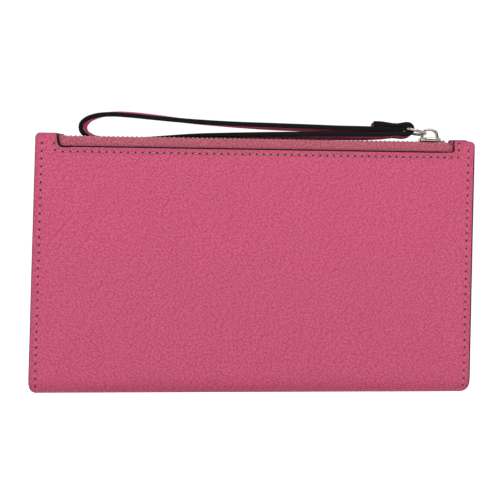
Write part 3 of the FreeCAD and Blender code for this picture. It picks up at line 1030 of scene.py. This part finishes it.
class WALLET_OT_seams(bpy.types.Operator):
    """Sew the near cover: one seam round the notch and one down each side"""

    bl_idname = "wallet.seams"
    bl_label = "Seams"

    def execute(self, context):
        pattern = RearPattern()
        # the side seams are pulled deep into the leather
        for seam, out, stretch, length in (
            ("notch", 0.6, 1.0, 0.72), ("left", -3.3, 1.08, 0.5), ("right", -3.3, 1.08, 0.5),
        ):
            sew(seam + "_seam", "rear_half", pattern.seams[seam], pattern.place, out,
                stretch, length=length, seed=11)
        return {"FINISHED"}


class WALLET_OT_divider(bpy.types.Operator):
    """Cut the divider behind the zip pocket, and the slip pocket sewn on its back"""

    bl_idname = "wallet.divider"
    bl_label = "Divider"

    def execute(self, context):
        low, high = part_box("divider_panel")
        half = high.x - 0.2 * MM

        def paint_width(u, v):
            return np.where(v > high.z + 0.5 * MM, 0.3, 0.8)

        outline = [(-half, low.z, 2 * MM), (half, low.z, 2 * MM)]
        outline += notched_top(half, high.z + 0.9 * MM, NOTCH_FLOOR)
        flat_panel("divider_panel", "divider_leather", "rear_half", "leather_pink",
                   outline, LEATHER_BOTH_SIDES, spacing=4 * MM, rim_share=paint_width)
        low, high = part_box("slip_pocket")
        outline = dipped(-high.x, low.z, high.x, high.z, 2 * MM, (-16 * MM, 16 * MM),
                         6 * MM, 5 * MM, 5 * MM)
        flat_panel("slip_pocket", "slip_pocket_leather", "rear_half", "leather_pink",
                   outline, LEATHER_BOTH_SIDES, -1, spacing=3.5 * MM)
        return {"FINISHED"}


class WALLET_OT_linings(bpy.types.Operator):
    """Hang the woven linings of the two pockets and the spine, and fold the gussets"""

    bl_idname = "wallet.linings"
    bl_label = "Linings and gussets"

    def execute(self, context):
        # clear is how far a lining's foot stays above the curve of the fold
        for node, body, side, clear in (
            ("pocket_lining_rear", "rear_half", -1, 3.6 * MM),
            ("pocket_lining_divider", "rear_half", 1, 0.0),
            ("bill_pocket_lining", "front_half", 1, 1.9 * MM),
        ):
            low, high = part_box(node)
            foot = low.z + clear
            outline = rectangle(-high.x, foot, high.x, high.z, 2 * MM, 1 * MM)
            lining = flat_panel(node, node + "_cloth", body, "lining_cloth", outline,
                                CLOTH, side, 0.1 * MM, spacing=3.5 * MM)

        low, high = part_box("spine_lining")
        half = high.x
        brim, floor = 2.75 * MM, 1.36 * MM
        carry, reach = section([
            (-5.4 * MM, brim, 0), (-2.2 * MM, floor, 6 * MM),
            (2.2 * MM, floor, 6 * MM), (5.4 * MM, brim, 0),
        ], -1)
        outline = rectangle(-half, 0, half, reach, 1 * MM)
        lining = sheet_mesh("spine_lining_cloth", outline, carried(carry),
                            high.z - low.z, CLOTH, spacing=2 * MM)
        fit_in(lining, "spine", "spine_lining")

        wall = 0.4 * MM
        for node, side in (("gusset_left", -1), ("gusset_right", 1)):
            low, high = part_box(node)
            inner, outer = sorted((low.x * side, high.x * side))
            carry, length = section([
                (low.y + wall, outer, 0), ((low.y + high.y) / 2, inner + wall, 0.9 * MM),
                (high.y - wall, outer, 0),
            ], 1)

            def bellows(u, v, depth, carry=carry, side=side):
                y, x = carry(u, depth)
                return settled(np.stack([x * side, y, v], 1))

            foot = low.z + 4.3 * MM
            outline = rectangle(0, foot, length, high.z, 0.8 * MM)
            fold = sheet_mesh(node + "_cloth", outline, bellows, wall, CLOTH,
                              spacing=1.2 * MM)
            fit_in(fold, "rear_half", node)
        return {"FINISHED"}


class WALLET_OT_cards(bpy.types.Operator):
    """Cut the card slots and their base panel, and sew the middle seam between them"""

    bl_idname = "wallet.cards"
    bl_label = "Card slots"

    def execute(self, context):
        low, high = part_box("card_base_panel")
        outline = rectangle(-high.x, low.z, high.x, high.z, 3 * MM)
        flat_panel("card_base_panel", "card_base_leather", "front_half", "leather_pink",
                   outline, LEATHER_BOTH_SIDES, spacing=3.5 * MM)
        for column in ("left", "right"):
            for step in (1, 2, 3):
                node = f"card_slot_{column}_{step}"
                low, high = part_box(node)
                dip = [low.x + (high.x - low.x) * share for share in (0.36, 0.64)]
                outline = dipped(low.x, low.z, high.x, high.z, 1 * MM, dip,
                                 6 * MM, 2.5 * MM, 6 * MM)
                flat_panel(node, node + "_leather", "front_half", "leather_pink",
                           outline, LEATHER_BOTH_SIDES, spacing=3 * MM)
        low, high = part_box("thread_card_seam")
        line = run([(0, low.z, 0), (0, high.z, 0)], SEAM_STEP, False)
        sew("card_seam", "front_half", line, upright(high.y + 0.02 * MM), 1, girth=0.9)
        return {"FINISHED"}


class WALLET_OT_zip(bpy.types.Operator):
    """Weave the zip tapes and set their teeth and stops"""

    bl_idname = "wallet.zip"
    bl_label = "Zip"

    def execute(self, context):
        sizes = context.scene.wallet_sizes
        for node, side in (("zipper_tape_rear", 1), ("zipper_tape_front", -1)):
            low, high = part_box(node)
            face, tip = (low.y, high.y)[::side]
            carry, length = section(
                [(face, low.z, 0), (face, high.z, 0.5 * MM), (tip, high.z, 0)], side
            )
            # the upper corner at the zip's closed end is cut away on a slant
            half, slant, soft = high.x, high.x - 5 * MM, 0.8 * MM
            outline = [(-half, 0, soft), (half, 0, soft),
                       (half, length - 3.2 * MM, soft),
                       (slant + 1.5 * MM, length - 2.6 * MM, 1.5 * MM),
                       (slant, length, soft), (-half, length, soft / 2)]
            if side == -1:
                outline = [(-u, v, r) for u, v, r in reversed(outline)]
            bends = [run([(-half, length - gap, 0), (half, length - gap, 0)], 1.5 * MM, False)
                     for gap in (0.7 * MM, 1.2 * MM, 1.6 * MM)]
            tape = sheet_mesh(node + "_cloth", outline, carried(carry, side), 0.45 * MM,
                              ["tape_herringbone"] * 3, spacing=2.5 * MM, lines=bends)
            fit_in(tape, "rear_half", node)

        tooth = ball(12, 8, 0.62)
        tooth_half, shaved = 0.53 * MM, 0.2 * MM
        for node in ("zipper_teeth_rear", "zipper_teeth_front"):
            low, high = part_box(node)
            first = low.x + 0.525 * MM
            middle = (low + high) / 2
            deep, tall = (high.y - low.y) / 2, (high.z - low.z) / 2
            axes = ((tooth_half, 0, 0), (0, deep, 0), (0, 0, tall - shaved))
            row = [
                (tooth, axes, (first + k * sizes.tooth_pitch, middle.y, middle.z - shaved), 0)
                for k in range(sizes.teeth)
            ]
            fit_in(many(node + "_moulded", row, ["tooth_metal"]),
                   "rear_half", node)
        for node in ("zipper_top_stops", "zipper_bottom_stop"):
            dress(node, "tooth_metal")
        return {"FINISHED"}


def strap_hinge():
    """Where the strap turns on the ring, and the line that it turns about."""
    joint = next(j for j in frame["joints"] if j["name"] == "strap_swing")
    return np.array(joint["pos_m"]), np.array(joint["axis"], float)


class WALLET_OT_hardware(bpy.types.Operator):
    """Plate the slider, its arch and the ring, and dome the rivet"""

    bl_idname = "wallet.hardware"
    bl_label = "Slider, ring and rivet"

    def execute(self, context):
        self.slider()
        self.ring()
        self.bridge()
        self.rivet()
        return {"FINISHED"}

    def slider(self):
        for node in ("slider_upper_plate", "slider_lower_plate"):
            low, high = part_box(node)
            middle, deep = (low.y + high.y) / 2, (high.y - low.y) / 2

            def place(u, v, depth, high=high, middle=middle):
                return np.stack([u, middle + v, high.z - depth], 1)

            tail, nose = low.x + 2.2 * MM, high.x - 2.6 * MM
            near = [
                (low.x, -deep * 0.62, 0.9 * MM), (tail, -deep, 1.6 * MM),
                (nose, -deep, 1.6 * MM), (high.x, -deep * 0.6, 1.0 * MM),
            ]
            far = [(u, -v, radius) for u, v, radius in reversed(near)]
            plate = sheet_mesh(node + "_cast", near + far, place, high.z - low.z, METAL,
                               spacing=0.8 * MM, rim=0.6 * MM, edge_step=0.3 * MM)
            fit_in(plate, "slider", node)
        dress("slider_post", "nickel_plate")

    def ring(self):
        pivot, axis = strap_hinge()
        tilt = math.radians(11)
        ahead = -np.cross(UP, axis)
        ahead = ahead * math.copysign(1, ahead[0])
        ahead = ahead * math.cos(tilt) - UP * math.sin(tilt)
        # a straight back with long shoulders that draw in to a narrow nose, in millimetres
        half, nose, wire, back = 4.75, 8.75, 0.64, 0.35
        bend = run([
            (0, -half, 1.6), (0, half, 1.6), (4.3, half, 4.2), (nose, 2.7, 2.4),
            (nose, -2.7, 2.4), (4.3, -half, 4.2),
        ], 0.35, True) * MM
        line = pivot + (bend[:, :1] - back * MM) * ahead + bend[:, 1:] * axis
        wire_piece = wire_loop("d_ring_wire", line, wire * MM, METAL[:1])
        fit_in(wire_piece, "ring", "d_ring")

    def bridge(self):
        low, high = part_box("slider_bridge")
        wall, wide, soft = 0.55 * MM, 1.05 * MM, 0.45 * MM
        left, right, top = low.x + wall, high.x - wall, high.z - wall
        foot = low.z - 0.3 * MM
        path = run([
            (left + 0.6 * MM, foot, 0), (left + 0.3 * MM, top - 2.2 * MM, 1.2 * MM),
            (left + 1.9 * MM, top - 0.75 * MM, 1.8 * MM),
            (left + 4.6 * MM, top - 0.35 * MM, 3 * MM),
            (right - 0.9 * MM, top - 1.4 * MM, 2.2 * MM), (right - 0.1 * MM, foot, 0),
        ], 0.3 * MM, False)
        middle = np.full(len(path), (low.y + high.y) / 2)
        line = np.stack([path[:, 0], middle, path[:, 1]], 1)
        across = np.array([0, 1.0, 0])
        into = np.cross(directions(line), across)
        shape = run(rectangle(-wide, -wall, wide, wall, soft), 0.25 * MM, True)
        arch = swept("slider_bridge_cast", line, into, across, shape, METAL, 1.0)
        fit_in(arch, "slider", "slider_bridge")

    def rivet(self):
        low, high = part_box("rivet_cap")
        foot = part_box("rivet_post")[0].z
        middle = ((low.x + high.x) / 2, (low.y + high.y) / 2)
        stem, head, rise = 0.8 * MM, 1.45 * MM, 0.85 * MM
        profile = [(stem, -2.2 * MM), (stem, -0.05 * MM), (head * 0.96, 0.0)]
        profile += [
            (head * math.cos(a) ** 0.8, 0.1 * MM + rise * math.sin(a))
            for a in (0.0, 0.25, 0.5, 0.75, 1.0, 1.2, 1.4, 1.52)
        ]
        for name, base, node, sign in (
            ("rivet_dome", low.z - 0.8 * MM, "rivet_cap", 1),
            ("rivet_shank", foot + 1.05 * MM, "rivet_post", -1),
        ):
            cap = turned(name, [(r, sign * h) for r, h in profile], (*middle, base), METAL)
            fit_in(cap, "strap", node)


# the strap's middle line: distance from the ring and height in millimetres, roll in
# degrees, and share of the full thickness
STRAP_START = [(14.8, 2.35, 0, 1), (11.5, 2.3, 0, 0.98), (8.2, 1.95, 0, 0.86),
               (5.2, 1.62, 0, 0.78), (2.6, 1.85, 0, 0.9), (0.4, 2.12, 0, 1)]
STRAP_LOOP = [
    (0.4, -2.2, 0, 1.05), (5.2, -2.1, 0, 0.92), (10, -2.4, -1, 1.07),
    (16, -2.62, -3, 1.12), (27, -2.72, -4, 1.12), (45, -2.9, -4, 1.1),
    (62, -3.05, -2, 1.05), (80, -3.35, 0, 1), (94, -3.9, 0, 1), (104, -4.55, 2, 1),
    (113, -5.1, 5, 1), (121, -5.5, 8, 1), (128, -5.7, 10, 1), (134.4, -5.2, 11, 1),
    (139.2, -3.8, 10, 1), (141.8, -1.5, 7, 1), (142.0, 0.9, 2, 1),
    (140.0, 3.35, -4, 1), (136, 5.1, -8, 1), (129.5, 5.95, -11, 1),
    (121, 5.7, -13, 1), (111, 4.75, -12.5, 1), (96, 3.2, -8, 1), (77, 1.9, -4, 1),
    (60, 1.15, 0, 1), (45.8, 0.7, 1, 1), (30, 0.28, 0, 1), (15, 0.04, 0, 1),
    (9, -0.02, 0, 0.92), (5.2, -0.06, 0, 0.82), (1.4, -0.04, 0, 0.95),
]


def smooth_through(points, step):
    """A smooth line through given points: cubic spans with shared tangents."""
    knots = lengths(points[:, :2])
    slope = np.gradient(points, knots, axis=0)
    line = []
    for k, gap in enumerate(np.diff(knots)):
        parts = max(2, round(gap / step))
        t = (np.arange(parts) / parts)[:, None]
        h00, h10 = 2 * t**3 - 3 * t**2 + 1, t**3 - 2 * t**2 + t
        h01, h11 = 3 * t**2 - 2 * t**3, t**3 - t**2
        line.append(h00 * points[k] + h10 * gap * slope[k]
                    + h01 * points[k + 1] + h11 * gap * slope[k + 1])
    line.append(points[-1:])
    return np.concatenate(line)


class WALLET_OT_strap(bpy.types.Operator):
    """Fold one long strip round the ring, out to the end of the loop and back"""

    bl_idname = "wallet.strap"
    bl_label = "Wrist strap"

    def execute(self, context):
        sizes = context.scene.wallet_sizes
        pivot, axis = strap_hinge()
        axis = unit(axis) * math.copysign(1, axis[1])
        back = -np.cross(axis, UP)
        back = back * -math.copysign(1, back[0])  # along the strap, away from the ring
        bend, turns = 2.1, (0.5, 1.05, 1.57, 2.09, 2.64)  # round the ring's wire
        wrap = [(-bend * math.sin(a), bend * math.cos(a), 0, 1) for a in turns]
        route = STRAP_START + wrap + STRAP_LOOP
        route = smooth_through(np.array(route) * (MM, MM, 1, 1), 1.0 * MM)
        line = pivot + route[:, :1] * back + route[:, 1:2] * UP
        out = -np.cross(directions(line), axis)
        roll = np.radians(route[:, 2:3])
        across = axis * np.cos(roll) + out * np.sin(roll)
        into = -(out * np.cos(roll) - axis * np.sin(roll))
        half, wall, soft = sizes.strap_width / 2, sizes.strap_thickness / 2, 0.62 * MM
        shape = run([
            (-half, -wall, soft), (0, -wall, 0), (half, -wall, soft),
            (half, wall, soft), (0, wall, 0), (-half, wall, soft),
        ], 0.55 * MM, True)
        strap = swept("wrist_strap_leather", line, into, across, shape,
                      ["strap_leather", "edge_paint"], half - 0.5 * MM, route[:, 3])
        fit_in(strap, "strap", "wrist_strap")
        return {"FINISHED"}


class WALLET_OT_fittings(bpy.types.Operator):
    """Finish the stiffening board and the hidden magnetic snap"""

    bl_idname = "wallet.fittings"
    bl_label = "Board and snap"

    def execute(self, context):
        low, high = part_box("front_stiffener")
        foot = low.z + 5 * MM  # the board ends above the fold, where the cover bends
        outline = rectangle(-high.x, foot, high.x, high.z, 1.5 * MM)
        flat_panel("front_stiffener", "front_stiffener_board", "front_half", "board",
                   outline, ["grey_board"] * 3, spacing=5 * MM)
        dress("closure_magnet", "magnet_steel")
        dress("closure_plate", "magnet_steel")
        return {"FINISHED"}


class WALLET_OT_stage(bpy.types.Operator):
    """Set the pale floor, the soft studio lights and the camera"""

    bl_idname = "wallet.stage"
    bl_label = "Studio"

    def execute(self, context):
        self.floor(context.scene)
        self.air(context.scene)
        self.lights(context.scene)
        self.camera(context.scene)
        context.scene.view_settings.view_transform = "Standard"
        return {"FINISHED"}

    def floor(self, scene):
        """A floor with a painted shadow: grey under the wallet, and white and glowing away from
        it.
        """
        reach = 6.0
        # the painted shadow runs out between these distances, and the glow comes in
        shadow_to, glow_from = 150, 400  # millimetres from the wallet
        # the front half hangs below the spine when the wallet is opened
        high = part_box("front_cover")[1]
        level = -(high.z + 2 * high.y + 4 * MM)
        mesh = bpy.data.meshes.new("studio_floor")
        corners = [(-reach, -reach), (reach, -reach), (reach, reach), (-reach, reach)]
        mesh.from_pydata([(x, y, level) for x, y in corners], [], [(0, 1, 2, 3)])
        floor = bpy.data.objects.new("studio_floor", mesh)
        finish = Finish("studio_white", Roughness=0.9, Specular_IOR_Level=0.1,
                        Emission_Strength=1.0)
        place = finish.solid()
        far = finish.add("ShaderNodeVectorMath", {"operation": "LENGTH"}, {0: place}, 1)
        far = far.between(shadow_to, glow_from)
        # painted shadow under the wallet, which also darkens the light bounced onto its base,
        # fading to a floor that glows white far away
        shadow_fade = finish.noise(place, 0.02, 3) * 0.1 + far * 0.9
        mesh.materials.append(finish.surface(
            Base_Color=finish.mix(shadow_fade, (0.36, 0.36, 0.36), (0.97, 0.97, 0.97)),
            Emission_Color=finish.mix(far, (0, 0, 0), (0.34, 0.34, 0.34)),
        ))
        scene.collection.objects.link(floor)

    def air(self, scene):
        """Air that looks white, and lights the wallet as a room with a dark floor does."""
        white, dark = (1, 1, 1), (0.14, 0.14, 0.15)
        world = bpy.data.worlds.new("studio_air")
        world.use_nodes = True
        air = Shading(world.node_tree)
        sky = world.node_tree.nodes["Background"]
        height = air.add("ShaderNodeSeparateXYZ", (), {0: air.add("ShaderNodeTexCoord")}, 1)
        room = air.mix(height.between(-0.75, -0.15), dark, white)
        seen = air.add("ShaderNodeLightPath")
        air.feed(sky.inputs["Color"], air.mix(seen, room, white))
        sky.inputs["Strength"].default_value = 1.06
        scene.world = world

    def lights(self, scene):
        for name, place, aim, size, power in (
            ("key_light", (0.45, -1.05, 0.95), (0, 0, 0.06), 0.6, 8.2),
            ("fill_light", (-1.0, -0.9, 0.45), (0, 0, 0.06), 0.8, 3.8),
            ("top_light", (-0.1, 0.2, 1.3), (0, 0, 0.08), 0.8, 2.6),
        ):
            lamp = bpy.data.lights.new(name, "AREA")
            lamp.size, lamp.energy = size, power
            light = bpy.data.objects.new(name, lamp)
            light.location = place
            aim = Vector(aim) - Vector(place)
            light.rotation_euler = aim.to_track_quat("-Z", "Y").to_euler()
            scene.collection.objects.link(light)

    def camera(self, scene):
        yaw, pitch, roll = (math.radians(a) for a in (4.15, 0.78, 0.40))
        eye = (-30.6 * MM, -380 * MM, 56.9 * MM)
        ahead = Vector((math.sin(yaw) * math.cos(pitch), math.cos(yaw) * math.cos(pitch),
                        math.sin(pitch)))
        right = Vector((math.cos(yaw), -math.sin(yaw), 0))
        up = right.cross(ahead)
        side = right * math.cos(roll) + up * math.sin(roll)
        top = up * math.cos(roll) - right * math.sin(roll)
        lens = bpy.data.cameras.new("studio_camera")
        lens.sensor_width = 36.0
        lens.angle = math.radians(32.18)
        lens.clip_start, lens.clip_end = 0.02, 20
        camera = bpy.data.objects.new("studio_camera", lens)
        rows = [(side[k], top[k], -ahead[k], eye[k]) for k in range(3)]
        camera.matrix_world = Matrix((*rows, (0, 0, 0, 1)))
        scene.collection.objects.link(camera)
        scene.camera = camera


OPERATORS = (
    WALLET_OT_stage, WALLET_OT_covers, WALLET_OT_seams, WALLET_OT_divider,
    WALLET_OT_linings, WALLET_OT_cards, WALLET_OT_zip, WALLET_OT_hardware,
    WALLET_OT_strap, WALLET_OT_fittings,
)


class WALLET_PT_panel(bpy.types.Panel):
    """Lists the wallet's pieces, sizes and colours"""

    bl_idname = "WALLET_PT_panel"
    bl_label = "Wristlet Wallet"
    bl_space_type = "VIEW_3D"
    bl_region_type = "UI"
    bl_category = "Wallet"

    def draw(self, context):
        for group in (context.scene.wallet_sizes, context.scene.wallet_colours):
            column = self.layout.column(align=True)
            for name in group.bl_rna.properties.keys():
                if name not in ("rna_type", "name"):
                    column.prop(group, name)
        for operator in OPERATORS:
            self.layout.operator(operator.bl_idname)


CLASSES = (WalletSizes, WalletColours, *OPERATORS, WALLET_PT_panel)


def register():
    for cls in CLASSES:
        bpy.utils.register_class(cls)
    bpy.types.Scene.wallet_sizes = PointerProperty(type=WalletSizes)
    bpy.types.Scene.wallet_colours = PointerProperty(type=WalletColours)


def unregister():
    del bpy.types.Scene.wallet_colours
    del bpy.types.Scene.wallet_sizes
    for cls in reversed(CLASSES):
        bpy.utils.unregister_class(cls)


def main():
    register()
    for operator in OPERATORS:
        group, name = operator.bl_idname.split(".")
        getattr(getattr(bpy.ops, group), name)()


if __name__ == "__main__":
    main()
